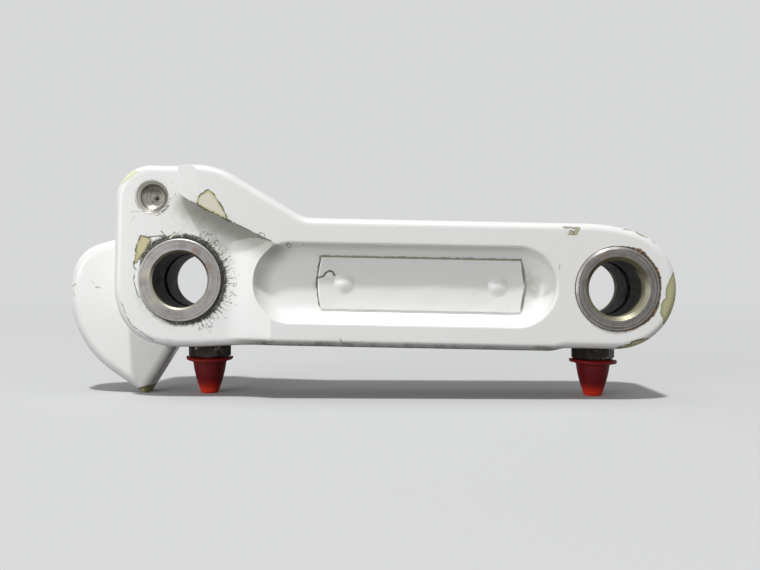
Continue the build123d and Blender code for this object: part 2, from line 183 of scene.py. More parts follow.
# A material being built from noises and outlines on the level place
class Recipe(Builder):
    def __init__(self, name):
        self.material = bpy.data.materials.new(name)
        self.material.use_nodes = True
        super().__init__(self.material.node_tree)
        self.place, self.flat, parts = self.node("Group", node_tree=levelGroup).outputs
        self.x, self.y, self.z = self.node("SeparateXYZ", {0: parts}).outputs

    def noise(self, size, detail=3.0, roughness=0.55, coords=None, output="Fac"):
        made = self.node("TexNoise", {
            "Vector": self.place if coords is None else coords, "Scale": 1.0 / size,
            "Detail": detail, "Roughness": roughness,
        })
        return made.outputs[output]

    # noise along one number, such as a distance from a bore
    def lineNoise(self, value, size, detail=2.0, roughness=0.6):
        inputs = {"W": value, "Scale": 1.0 / size, "Detail": detail, "Roughness": roughness}
        return self.node("TexNoise", inputs, noise_dimensions="1D").outputs["Fac"]

    def cells(self, size):
        return self.node("TexVoronoi", {"Vector": self.place, "Scale": 1.0 / size}).outputs["Distance"]

    # flat coordinates pushed about by noise, so that an outline drawn on them is ragged
    def ragged(self, *sizesAndReaches):
        coords = self.flat
        for size, reach in sizesAndReaches:
            spread = self.noise(size, 2.0, 0.6, self.flat, "Color")
            wobble = self.node("SeparateColor", {0: spread}).outputs
            across, up = [self.times(reach, self.minus(wobble[part], 0.5)) for part in (0, 2)]
            push = self.node("CombineXYZ", {0: across, 2: up}).outputs[0]
            coords = self.vector("ADD", coords, push)
        return coords

    # distance outside a convex outline, negative inside; its corners run counter-clockwise
    def outline(self, corners, coords):
        def side(first, second):
            run, climb = second[0] - first[0], second[1] - first[1]
            length = math.hypot(run, climb)
            normal = (climb / length, 0.0, -run / length)
            offset = normal[0] * first[0] + normal[2] * first[1]
            return self.minus(self.vector("DOT_PRODUCT", coords, normal), offset)
        return self.gather("MAXIMUM", map(side, corners, corners[1:] + corners[:1]))

    # distance from a straight line between two points
    def stroke(self, start, end, coords):
        run = (end[0] - start[0], 0.0, end[1] - start[1])
        square = run[0] ** 2 + run[2] ** 2
        local = self.vector("SUBTRACT", coords, (start[0], 0.0, start[1]))
        along = self.math("DIVIDE", self.vector("DOT_PRODUCT", local, run), square)
        scaled = self.vector("SCALE", run, self.node("Clamp", {0: along}).outputs[0])
        return self.vector("DISTANCE", local, scaled)

    def path(self, points, coords):
        return self.gather("MINIMUM", (self.stroke(*ends, coords) for ends in zip(points, points[1:])))

    def radius(self, centre, coords=None):
        return self.vector("DISTANCE", self.flat if coords is None else coords, (centre[0], 0.0, centre[1]))

    # angle round a centre, as a share of a turn from 0 at three o'clock, counter-clockwise
    def turn(self, centre):
        side = self.minus(self.x, centre[0])
        height = self.minus(self.z, centre[1])
        angle = self.math("ARCTAN2", height, side)
        return self.math("FRACT", self.add(self.math("DIVIDE", angle, math.tau), 1.0))

    # 1 between two angles in degrees, fading over a few degrees at each end
    def sector(self, centre, start, end, fade=12.0):
        middle, half = (start + end) / 720.0, (end - start) / 720.0
        around = self.minus(self.turn(centre), middle)
        wrapped = self.minus(self.math("FRACT", self.add(around, 1.5)), 0.5)
        return self.rise(self.math("ABSOLUTE", wrapped), half + fade / 360.0, half)

    # a number that changes round a centre, from pairs of degrees and value
    def round(self, centre, stops):
        made = self.node("ValToRGB", {"Fac": self.turn(centre)})
        marks = made.color_ramp.elements
        while len(marks) < len(stops):
            marks.new(0.5)
        for mark, (degrees, value) in zip(marks, sorted(stops)):
            mark.position = degrees / 360.0
            mark.color = (value, value, value, 1.0)
        return self.node("SeparateColor", {0: made.outputs["Color"]}).outputs[0]

    def bump(self, height, normal=None):
        made = self.node("Bump", {"Strength": 1.0, "Distance": 0.001, "Height": height})
        if normal is not None:
            self.put(normal, made.inputs["Normal"])
        return made.outputs["Normal"]

    def bevel(self, radius):
        return self.node("Bevel", {"Radius": radius}, samples=4).outputs["Normal"]

    def finish(self, **inputs):
        shader = self.node("BsdfPrincipled", {name.replace("_", " "): value for name, value in inputs.items()})
        self.node("OutputMaterial", {"Surface": shader.outputs[0]})
        return self.material


paintSettings = {
    "white": (0.86, 0.865, 0.85), "aged": (0.82, 0.825, 0.79), "haze": (0.5, 0.5, 0.38),
    "dirtAndShade": (0.25, 0.24, 0.19), "grimeAndShade": (0.03, 0.03, 0.024), "crumbs": (0.13, 0.125, 0.085),
    "rust": (0.3, 0.17, 0.07), "olive": (0.29, 0.285, 0.19), "outline": (0.075, 0.068, 0.045),
    "shade": (0.075, 0.078, 0.05), "litFlake": (0.93, 0.93, 0.92), "gloss": 0.3, "chipDepth": 0.11,
}

lacquer = {"IOR": 1.5, "Coat_Weight": 0.25, "Coat_Roughness": 0.12}

# Shapes are in millimetres from the pivot bore, along the arm and up, as seen from the front.
# Tone is the bare patch's middle, fringe its edge, line the width of the dark outline, which is painted shadow of
# the paint's broken edge. It ends between the two depths, more or less, where the first is the farther back.
linkChips = {
    "rib": {
        "outlines": [
            [(5.4, 21.2), (7.6, 20.1), (13.9, 17.1), (13.4, 19.0), (12.2, 21.0), (10.6, 23.4), (9.5, 25.0),
             (8.4, 25.6), (6.3, 24.3), (5.2, 22.6)],
        ],
        "tone": (0.74, 0.7, 0.58), "fringe": (0.55, 0.53, 0.27), "line": 0.2, "depth": (4.0, -2.0),
    },
    "bushing": {
        "outlines": [
            [(-13.1, 4.6), (-12.0, 4.8), (-10.4, 7.6), (-8.6, 10.2), (-8.3, 11.6), (-9.7, 12.2), (-11.4, 12.4),
             (-12.4, 10.4), (-12.9, 7.2)],
        ],
        "tone": (0.63, 0.56, 0.32), "fringe": (0.44, 0.4, 0.2), "line": 0.24, "depth": (4.0, -2.0),
    },
    "lug": {
        "outlines": [
            [(-17.6, 26.8), (-15.0, 28.4), (-12.6, 30.6), (-13.4, 31.0), (-15.2, 30.6), (-17.4, 28.4)],
        ],
        "tone": (0.8, 0.8, 0.62), "fringe": (0.72, 0.72, 0.5), "line": 0.0, "depth": (-7.0, -7.6),
    },
    "arm": {
        "outlines": [
            [(108.3, 16.7), (113.0, 16.5), (113.2, 17.0), (108.3, 17.2)],
            [(110.9, 14.9), (112.2, 14.8), (113.2, 16.9), (112.0, 16.8)],
            [(109.4, 14.7), (111.0, 14.9), (111.2, 15.9), (110.3, 16.2)],
        ],
        "tone": (0.55, 0.54, 0.36), "fringe": (0.44, 0.42, 0.28), "line": 0.05, "depth": (-13.0, -13.6),
    },
    "kneeTop": {
        "outlines": [
            [(125.0, 16.8), (127.5, 16.3), (128.4, 16.3), (127.5, 17.1)],
            [(128.4, 16.3), (130.4, 14.9), (132.4, 14.3), (130.6, 15.8), (129.2, 16.5)],
            [(133.4, 13.7), (137.0, 11.2), (137.2, 11.5), (135.2, 12.9)],
        ],
        "tone": (0.47, 0.46, 0.31), "fringe": (0.36, 0.35, 0.22), "line": 0.0, "depth": (-14.0, -14.6),
    },
    "kneeEnd": {
        "outlines": [
            [(137.4, -3.0), (141.9, -3.0), (141.9, 5.4), (139.5, 4.9), (138.2, 2.6), (137.5, 0.0)],
            [(137.5, -2.0), (136.2, -4.0), (136.1, -6.4), (137.2, -9.6), (141.9, -9.6), (141.9, -2.0)],
        ],
        "tone": (0.45, 0.44, 0.245), "fringe": (0.36, 0.35, 0.19), "line": 0.07, "depth": (-9.0, -9.6),
    },
    "kneeLow": {
        "outlines": [
            [(124.0, -17.4), (128.0, -16.6), (128.3, -15.0), (127.6, -15.3), (125.9, -15.8), (124.0, -16.2)],
            [(127.9, -16.6), (131.5, -16.6), (134.0, -14.0), (133.2, -13.6), (130.9, -14.0), (129.0, -14.3),
             (128.0, -15.1)],
        ],
        "tone": (0.56, 0.5, 0.29), "fringe": (0.4, 0.36, 0.19), "line": 0.26, "depth": (-13.0, -13.6),
    },
    "lobe": {
        "outlines": [
            [(-18.0, -36.5), (-9.0, -36.5), (-9.0, -32.3), (-12.3, -32.1), (-15.3, -32.9), (-18.0, -34.3)],
        ],
        "tone": (0.4, 0.36, 0.15), "fringe": (0.2, 0.18, 0.07), "line": 0.16, "depth": (12.0, 8.0),
    },
}

# Lines in the paint: points, half width, how dark and how broken
linkCracks = {
    "rim": (
        [(-16.5, -6.6), (-15.0, -10.6), (-13.2, -13.5), (-11.8, -14.3), (-8.6, -16.5), (-7.1, -17.4)],
        0.15, 0.8, 0.36,
    ),
    "rimDashes": ([(-7.1, -17.4), (-5.7, -16.9), (-3.7, -17.1), (-2.0, -17.4)], 0.17, 0.45, 0.52),
    "lobeRoot": ([(-7.4, -19.4), (-4.8, -21.4), (-3.4, -22.4)], 0.13, 0.8, 0.3),
    "crease": ([(-0.9, 31.4), (-1.4, 28.0), (-1.6, 24.6), (-2.6, 23.4)], 0.16, 0.45, 0.5),
    "creaseMarks": ([(-3.0, 29.6), (-2.7, 27.4)], 0.22, 0.3, 0.5),
    "ribEdge": ([(-0.6, 24.0), (5.0, 21.4), (12.3, 18.0), (19.0, 14.9), (26.5, 11.4)], 0.2, 0.75, 0.42),
    "ribDark": ([(5.4, 21.2), (9.0, 19.5), (15.0, 16.7)], 0.3, 0.9, 0.34),
    "pinScratch": ([(-14.4, 19.1), (-12.6, 19.3), (-11.8, 19.3)], 0.17, 0.5, 0.34),
    "pinScratchLow": ([(-13.2, 18.0), (-14.3, 16.4)], 0.22, 0.18, 0.34),
    "chipTop": ([(-11.4, 12.4), (-9.7, 12.0), (-7.4, 12.2), (-4.6, 12.6), (-4.0, 12.0)], 0.26, 0.95, 0.2),
    "curlLeft": ([(-5.5, 13.8), (-4.2, 12.4)], 0.22, 0.9, 0.1),
    "curlRight": ([(-3.7, 12.3), (-2.7, 12.6), (-1.7, 13.6)], 0.2, 0.9, 0.1),
    "bushingLeft": ([(-13.1, 4.6), (-13.2, 3.6), (-12.6, 2.7)], 0.24, 0.8, 0.25),
    "bushingFarLeft": (
        [(-13.0, 1.8), (-13.2, -0.3), (-12.7, -2.0), (-12.2, -3.7), (-11.5, -5.3)], 0.24, 0.85, 0.36,
    ),
    "lowMarks": ([(4.4, -14.7), (6.8, -13.9)], 0.28, 0.2, 0.44),
    "squiggle": ([(14.9, -3.5), (15.8, -3.9), (16.4, -4.4)], 0.26, 0.5, 0.42),
    "tickOne": ([(14.4, -6.0), (14.8, -6.4)], 0.22, 0.4, 0.3),
    "tickTwo": ([(107.4, 5.2), (107.5, 6.4)], 0.2, 0.55, 0.2),
    "belly": ([(46.2, -15.7), (46.7, -16.5), (47.4, -17.2)], 0.2, 0.8, 0.25),
    "bellyScratch": ([(47.6, -17.0), (53.0, -16.2)], 0.12, 0.5, 0.4),
    "lobeScratch": ([(-29.6, -0.8), (-29.0, -1.5)], 0.2, 0.45, 0.34),
    "lobeNick": ([(-28.5, -2.6), (-27.7, -2.9), (-27.2, -2.8)], 0.24, 0.6, 0.3),
    "lobeEdge": ([(-35.6, -2.6), (-34.5, -2.0)], 0.24, 0.6, 0.25),
    "lobeEdgeLow": ([(-35.4, -4.4), (-34.6, -5.8)], 0.18, 0.5, 0.35),
    "heelTick": ([(24.2, -17.6), (25.3, -17.4)], 0.24, 0.8, 0.25),
    "lipMarks": ([(33.4, 10.5), (36.4, 10.8), (41.2, 10.8)], 0.2, 0.55, 0.5),
}
# Small rings, each a place and a radius, and a curl of cream paint beside the pivot bushing
linkBlisters = [(23.6, 12.9, 0.85), (31.0, 10.4, 0.55)]
creamCurl = {"points": [(-3.1, 12.0), (-2.0, 12.8), (-0.6, 13.8)], "width": 0.34}

plateMiddle = 68.65
plateSides = [(39.9, -7.5), (97.4, -7.5), (98.5, 0.0), (97.4, 7.5), (39.9, 7.5), (38.8, 0.0)]

# Soft dirt, and in the rib's hollow painted shade with dirt. A spot is its place, the distances where it ends and
# where it is full, and the dust it gathers.
hazeSettings = {
    "rampLine": ((1.0, 19.0), (12.0, 12.5)), "ramp": 0.5, "beside": 0.8, "below": 0.55, "web": 0.5,
    "webSpots": [((100.4, 1.5), (5.5, 1.0), (0.34, 0.6), 1.0), ((37.8, 1.2), (4.0, 0.5), (0.44, 0.62), 0.7)],
    "hollowLine": ((4.0, 21.9), (25.0, 12.1)), "hollow": 0.66, "ribSlope": 0.4657, "ribFoot": (23.9, 23.5),
    "pinEdge": 5.15, "pinGap": 4.82, "ring": 0.85, "behind": 0.18,
}

# Dirt at the bushings: where it starts, and how far it reaches in centimetres by degrees. Below the pivot flange,
# from about 260 to 315 degrees, the reach also stands for painted shade under the flange.
grimeSettings = {
    "pivotEdge": 11.75, "kneeEdge": 11.8, "spray": 0.85, "seats": 0.8, "hairCount": 24.0, "hairDrift": 0.35,
    "seatPlaces": [(5.9, 0.0, 0.0), (121.3, -4.0, 0.0)], "seatReach": (8.6, 6.9),
    "pivotReach": [
        (0, 0.17), (30, 0.15), (60, 0.17), (80, 0.15), (96, 0.09), (112, 0.15), (132, 0.16), (148, 0.12),
        (164, 0.02), (190, 0.0), (215, 0.03), (245, 0.05), (262, 0.11), (285, 0.13), (310, 0.17), (359, 0.17),
    ],
    "kneeReach": [
        (0, 0.05), (20, 0.09), (40, 0.07), (58, 0.12), (72, 0.06), (85, 0.03), (120, 0.015), (200, 0.015),
        (260, 0.03), (300, 0.06), (325, 0.1), (345, 0.06), (359, 0.05),
    ],
}


# White paint with a little unevenness, and the fine specks that settle in it
def paintBase(r, look):
    cloudy = r.rise(r.noise(22.0, 4.0), 0.35, 0.75)
    base = r.mix(r.times(cloudy, 0.4), look["white"], look["aged"])
    specks = r.times(
        r.rise(r.cells(2.9), 0.07, 0.04),
        r.rise(r.noise(8.0, 2.0), 0.54, 0.64),
    )
    return base, specks


# What the layers of the link's paint share: its base and specks, masks for its front, a ragged version of the
# flat place, distances from the bores, and two noises
class LinkRecipe(Recipe):
    def __init__(self, name, look):
        super().__init__(name)
        self.base, self.specks = paintBase(self, look)
        self.front = self.rise(self.y, -10.0, -12.0)
        self.torn = self.ragged((1.6, 0.75), (0.45, 0.35))
        self.pivotReach, self.kneeReach, self.pinReach = map(self.radius, (pivotEye, kneeEye, pinPlace))
        self.dust = self.noise(3.0, 6.0, 0.72)
        self.fine = self.noise(0.55, 3.0, 0.7)
        self.frontHalf = self.rise(self.y, 2.0, -2.0)


# Olive haze on the ramp, beside and below the pivot bushing and at the plate's ends
def olivePatches(r, look):
    ramp = r.times(
        r.rise(r.stroke(*look["rampLine"], r.flat), 9.0, 1.0), r.rise(r.dust, 0.34, 0.7), r.front,
    )
    beside = r.times(
        r.rise(r.pivotReach, 19.0, 12.0), r.rise(r.dust, 0.44, 0.66), r.sector(pivotEye, 20.0, 75.0, 30.0),
        r.front,
    )
    below = r.times(
        r.rise(r.pivotReach, 15.0, 12.0), r.rise(r.dust, 0.36, 0.6), r.sector(pivotEye, 205.0, 262.0), r.front,
    )
    web = r.times(r.frontHalf, r.gather("MAXIMUM", (
        r.times(r.rise(r.radius(place), *reach), r.rise(r.dust, *dusty), share)
        for place, reach, dusty, share in look["webSpots"]
    )))
    return r.most(
        r.times(ramp, look["ramp"]), r.times(beside, look["beside"]),
        r.times(below, look["below"]), r.times(web, look["web"]),
    )


# Grey dirt round the pin and on the back, and painted shade with dirt in the rib's hollow under the rib
def greyDirtAndShade(r, look):
    hollowReach = r.stroke(*look["hollowLine"], r.flat)
    underRib = r.rise(r.add(r.z, r.times(look["ribSlope"], r.x)), *look["ribFoot"])
    hollow = r.times(r.rise(hollowReach, 7.5, 2.0), underRib, r.front)
    pinDirt = r.times(
        r.rise(r.gap(r.pinReach, look["pinEdge"]), 0.75, 0.1), r.rise(r.noise(0.9, 3.0, 0.7), 0.46, 0.56),
        r.sector(pinPlace, -72.0, -10.0, 10.0), r.front,
    )
    pinRing = r.times(
        r.rise(r.gap(r.pinReach, look["pinGap"]), 0.3, 0.08), r.rise(r.fine, 0.3, 0.6),
        r.add(0.25, r.times(0.75, r.sector(pinPlace, 200.0, 330.0, 25.0))),
    )
    behind = r.times(r.rise(r.y, 9.0, 13.5), r.rise(r.noise(12.0, 5.0, 0.65), 0.56, 0.8))
    return r.most(
        r.times(hollow, look["hollow"]), pinDirt, r.times(pinRing, look["ring"]),
        r.times(behind, look["behind"]),
    )


# Painted shade on the front corner of the arm's underside, where it faces down, made patchy by noise
def undersideShade(r):
    return r.times(
        r.rise(r.z, -15.8, -17.1), r.rise(r.x, 12.0, 22.0), r.rise(r.x, 111.0, 104.0),
        r.add(
            r.times(0.5, r.rise(r.y, -14.0, -18.0)), r.times(0.4, r.rise(r.noise(6.0, 5.0, 0.7), 0.42, 0.7)),
        ),
    )


# The gap round the plate: a thick olive line above, thin dark ones at the ends with olive dots beside the left
# one, and a hairline below
def plateGap(r, paint, look):
    sides = r.outline(plateSides, r.torn)
    fromMiddle = r.gap(r.x, plateMiddle)
    width = r.add(
        0.06, r.times(0.55, r.rise(r.z, 6.4, 7.3), r.rise(fromMiddle, 29.4, 28.6)),
        r.times(r.rise(fromMiddle, 28.2, 29.4), r.add(0.08, r.times(0.2, r.rise(r.z, -4.0, 2.0)))),
    )
    dots = r.times(
        r.rise(sides, 0.95, 0.3), r.rise(r.x, 60.0, 50.0), r.rise(r.z, -4.5, -2.5), r.rise(r.fine, 0.55, 0.62),
    )
    line = r.times(
        r.most(r.rise(sides, width, r.times(0.5, width)), r.times(0.8, dots)), r.rise(sides, -1.5, -1.0),
        r.rise(r.y, -16.8, -16.2), r.frontHalf, r.add(0.08, r.times(0.92, r.rise(r.z, -7.3, -6.2))),
    )
    olive = r.most(r.times(r.rise(r.z, 6.0, 7.0), r.rise(r.fine, 0.34, 0.48)), r.rise(sides, 0.2, 0.4))
    return r.mix(r.times(line, 0.9), paint, r.mix(olive, look["outline"], look["olive"]))


# Dark grime thrown out of the bushings, in hairs that point away from the pivot bore, with painted shade in the
# band below the pivot flange, and a film round the seats of the grease fittings
def bushingGrimeAndShade(r, look):
    outward = r.vector("SCALE", r.vector("NORMALIZE", r.flat), look["hairCount"])
    drift = r.vector("SCALE", r.flat, look["hairDrift"])
    hairs = r.noise(1.0, 3.0, 0.65, r.vector("ADD", outward, drift))
    ragged = r.add(0.1, r.times(0.9, r.noise(1.5, 4.0, 0.75)), hairs)
    pivotOut = r.add(look["pivotEdge"], r.times(10.0, r.round(pivotEye, look["pivotReach"]), ragged))
    pivotGrimeAndShade = r.times(
        r.rise(r.pivotReach, r.add(pivotOut, 0.45), r.minus(pivotOut, 0.35)), r.front,
        r.rise(r.fine, 0.24, 0.44),
    )
    patches = r.add(r.noise(0.8, 4.0, 0.7), r.times(0.2, r.rise(r.pivotReach, 17.5, 12.0)))
    spray = r.times(
        r.rise(hairs, 0.5, 0.58), r.rise(patches, 0.56, 0.62), r.rise(r.pivotReach, 19.5, 14.5),
        r.sector(pivotEye, -62.0, 62.0, 18.0), r.front,
    )
    rough = r.times(2.0, r.noise(0.9, 4.0, 0.8))
    kneeOut = r.add(look["kneeEdge"], r.times(10.0, r.round(kneeEye, look["kneeReach"]), rough))
    kneeGrime = r.times(r.rise(r.kneeReach, r.add(kneeOut, 0.12), r.minus(kneeOut, 0.12)), r.front)
    contact = r.times(
        0.9, r.rise(r.fine, 0.18, 0.5),
        r.most(r.rise(r.pivotReach, 12.05, 11.85), r.rise(r.kneeReach, 12.1, 11.9)),
    )
    level = r.vector("MULTIPLY", r.place, (1.0, 1.0, 0.0))
    near = r.gather("MAXIMUM", (
        r.rise(r.vector("DISTANCE", level, place), *look["seatReach"]) for place in look["seatPlaces"]
    ))
    seats = r.times(r.rise(r.z, -17.6, -18.4), near, r.rise(r.fine, 0.25, 0.55))
    return r.most(
        pivotGrimeAndShade, r.times(spray, look["spray"]), kneeGrime, contact, r.times(seats, look["seats"]),
    )


# Cracks, scratches and small blisters
def paintCracks(r):
    broken = r.noise(1.1, 3.0, 0.7)
    cracks = r.gather("MAXIMUM", (
        r.times(r.rise(r.path(points, r.torn), width, width * 0.35), r.rise(broken, gaps, gaps + 0.1), strength)
        for points, width, strength, gaps in linkCracks.values()
    ))
    for across, up, size in linkBlisters:
        ring = r.gap(r.radius((across, up), r.torn), size)
        cracks = r.most(cracks, r.times(r.rise(ring, 0.17, 0.05), r.rise(r.fine, 0.36, 0.52)))
    return r.times(cracks, r.rise(r.y, 2.0, 0.0))


# Chips down to the primer, with a dark line at the torn edge painted as the shadow of the paint's broken edge,
# and how bare the metal is
def paintChips(r, paint, look):
    bare = None
    ragDepth = r.add(r.y, r.times(9.0, r.minus(r.noise(3.4, 4.0, 0.65), 0.5)))
    for chip in linkChips.values():
        field = r.least(*[r.outline(corners, r.torn) for corners in chip["outlines"]])
        gate = r.rise(ragDepth, *chip["depth"])
        patch = r.times(r.rise(field, 0.05, -0.05), gate)
        inner = r.rise(r.add(field, r.times(0.9, r.noise(1.6))), 0.25, -0.45)
        paint = r.mix(patch, paint, r.mix(inner, chip["fringe"], chip["tone"]))
        # painted shadow of the paint's broken edge round the chip
        if chip["line"]:
            thick = r.times(chip["line"], r.rise(r.noise(1.9, 2.0), 0.36, 0.58))
            rim = r.rise(r.math("ABSOLUTE", field), r.add(thick, 0.05), r.times(thick, 0.6))
            rim = r.times(rim, gate, r.rise(thick, 0.01, 0.05))
            paint = r.mix(r.times(rim, 0.92), paint, look["outline"])
        bare = patch if bare is None else r.most(bare, patch)
    return paint, bare


# Wear on the edges that the photograph doesn't show
def edgeWear(r):
    true = r.node("NewGeometry").outputs["Normal"]
    edge = r.rise(r.away(r.vector("DOT_PRODUCT", r.bevel(0.0011), true)), 0.03, 0.1)
    return r.times(edge, r.rise(r.noise(7.0, 4.0, 0.6), 0.59, 0.62), r.rise(r.y, -4.0, 4.0))


def makeLinkPaint(look):
    r = LinkRecipe("linkPaint", look)
    paint = r.mix(olivePatches(r, hazeSettings), r.base, look["haze"])
    soft = greyDirtAndShade(r, hazeSettings)
    # grey dirt, with painted shade in the rib's hollow
    paint = r.mix(soft, paint, look["dirtAndShade"])
    # painted shade under the arm
    paint = r.mix(undersideShade(r), paint, look["shade"])
    paint = plateGap(r, paint, look)
    # grime, with painted shade below the pivot flange
    grimeAndShade = bushingGrimeAndShade(r, grimeSettings)
    greasy = r.mix(r.rise(r.noise(0.7), 0.48, 0.66), look["grimeAndShade"], look["crumbs"])
    rusty = r.mix(r.rise(r.noise(0.8), 0.45, 0.58), look["grimeAndShade"], look["rust"])
    paint = r.mix(grimeAndShade, paint, r.mix(r.rise(r.x, 90.0, 100.0), greasy, rusty))
    cracks = paintCracks(r)
    paint = r.mix(cracks, paint, look["outline"])
    paint = r.mix(r.times(r.specks, 0.55), paint, look["dirtAndShade"])
    curlReach = r.path(creamCurl["points"], r.torn)
    curl = r.times(r.rise(curlReach, creamCurl["width"], creamCurl["width"] * 0.5), r.front)
    paint = r.mix(curl, paint, linkChips["lug"]["tone"])
    paint, bare = paintChips(r, paint, look)
    worn = edgeWear(r)
    endChip = linkChips["kneeEnd"]
    paint = r.mix(worn, paint, r.mix(r.rise(r.fine, 0.4, 0.6), endChip["fringe"], endChip["tone"]))
    bare = r.most(bare, worn)
    height = r.add(
        r.times(0.006, r.noise(1.3, 2.0)), r.times(0.02, r.noise(16.0, 1.0)),
        r.times(-look["chipDepth"], bare), r.times(-0.05, cracks), r.times(0.12, grimeAndShade, r.fine),
        r.times(0.03, soft, r.dust), r.times(0.15, curl),
    )
    rough = r.add(
        look["gloss"], r.times(0.06, r.noise(9.0, 4.0)), r.times(0.35, soft), r.times(0.35, bare),
        r.times(0.45, grimeAndShade),
    )
    return r.finish(Base_Color=paint, Roughness=rough, Normal=r.bump(height, r.bevel(0.0004)), **lacquer)


# The tear in the plate's paint, from its left end over the first rivet, and the lifted flake below it, painted
# whiter as a highlight
plateTear = [(39.4, 1.4), (40.9, 1.9), (41.6, 2.9), (42.5, 3.5), (43.4, 3.3), (44.1, 2.2)]
plateFlake = [(41.7, 1.6), (43.4, 1.5), (43.7, 2.5), (42.8, 3.1), (42.0, 2.8)]


def makePlatePaint(look):
    r = Recipe("platePaint")
    base, specks = paintBase(r, look)
    torn = r.ragged((0.7, 0.35))
    sides = r.outline(plateSides, torn)
    ends = r.rise(r.gap(r.x, plateMiddle), 28.4, 29.2)
    near = r.add(0.05, r.times(0.3, r.rise(r.z, 6.4, 7.4)), r.times(0.14, ends))
    edge = r.times(
        r.rise(sides, r.times(near, -1.0), 0.02), r.rise(r.noise(1.6, 3.0, 0.7), 0.28, 0.5),
        r.add(0.12, r.times(0.88, r.rise(r.z, -7.2, -6.0))),
    )
    dust = r.times(r.rise(r.noise(2.6, 5.0, 0.7), 0.5, 0.75), r.rise(sides, -2.4, -0.2))
    tear = r.path(plateTear, torn)
    mark = r.times(r.rise(tear, 0.34, 0.16), r.rise(r.noise(0.8, 2.0), 0.22, 0.36))
    litFlake = r.rise(r.outline(plateFlake, torn), 0.1, -0.2)
    paint = r.mix(r.times(dust, 0.25), base, look["haze"])
    paint = r.mix(r.times(edge, 0.8), paint, r.mix(ends, look["olive"], look["outline"]))
    # painted highlight: the lifted flake is painted whiter than the paint, as lit
    paint = r.mix(litFlake, paint, look["litFlake"])
    paint = r.mix(r.times(mark, 0.95), paint, look["outline"])
    paint = r.mix(r.times(specks, 0.5), paint, look["dirtAndShade"])
    height = r.add(
        r.times(0.006, r.noise(1.3, 2.0)), r.times(0.03, r.noise(7.0, 2.0)), r.times(-0.06, mark),
        r.times(0.12, litFlake, r.rise(r.z, 1.4, 3.2)),
    )
    rough = r.add(look["gloss"], r.times(0.08, r.noise(6.0, 4.0)), r.times(0.3, dust))
    return r.finish(Base_Color=paint, Roughness=rough, Normal=r.bump(height), **lacquer)


# Stains are a place, a size and a colour; the mouth is the radius of the chamfer round the bore, painted lit
# below and shaded above
steelSettings = {
    "pivot": {
        "centre": pivotEye, "middle": 0.0, "mouth": 8.55, "wall": 16.85, "bright": (0.285, 0.272, 0.268),
        "dull": (0.145, 0.133, 0.13), "groove": 0.62, "lay": 0.15, "rim": 0.7, "mouthLit": (0.6, 0.57, 0.46),
        "stains": [
            ((4.3, 8.6), 1.6, (0.19, 0.11, 0.09)), ((8.1, 3.8), 2.2, (0.18, 0.12, 0.09)),
            ((-9.6, 1.5), 2.6, (0.33, 0.32, 0.22)), ((-7.6, -6.4), 2.0, (0.3, 0.285, 0.21)),
        ],
    },
    "knee": {
        "centre": kneeEye, "middle": -4.0, "mouth": 9.05, "wall": 16.35, "bright": (0.33, 0.32, 0.305),
        "dull": (0.115, 0.108, 0.098), "groove": 0.8, "lay": 0.15, "rim": 0.35, "mouthLit": (0.36, 0.345, 0.25),
        "stains": [((119.2, 9.1), 1.5, (0.3, 0.2, 0.11)), ((116.0, -3.0), 1.4, (0.28, 0.21, 0.1))],
    },
}


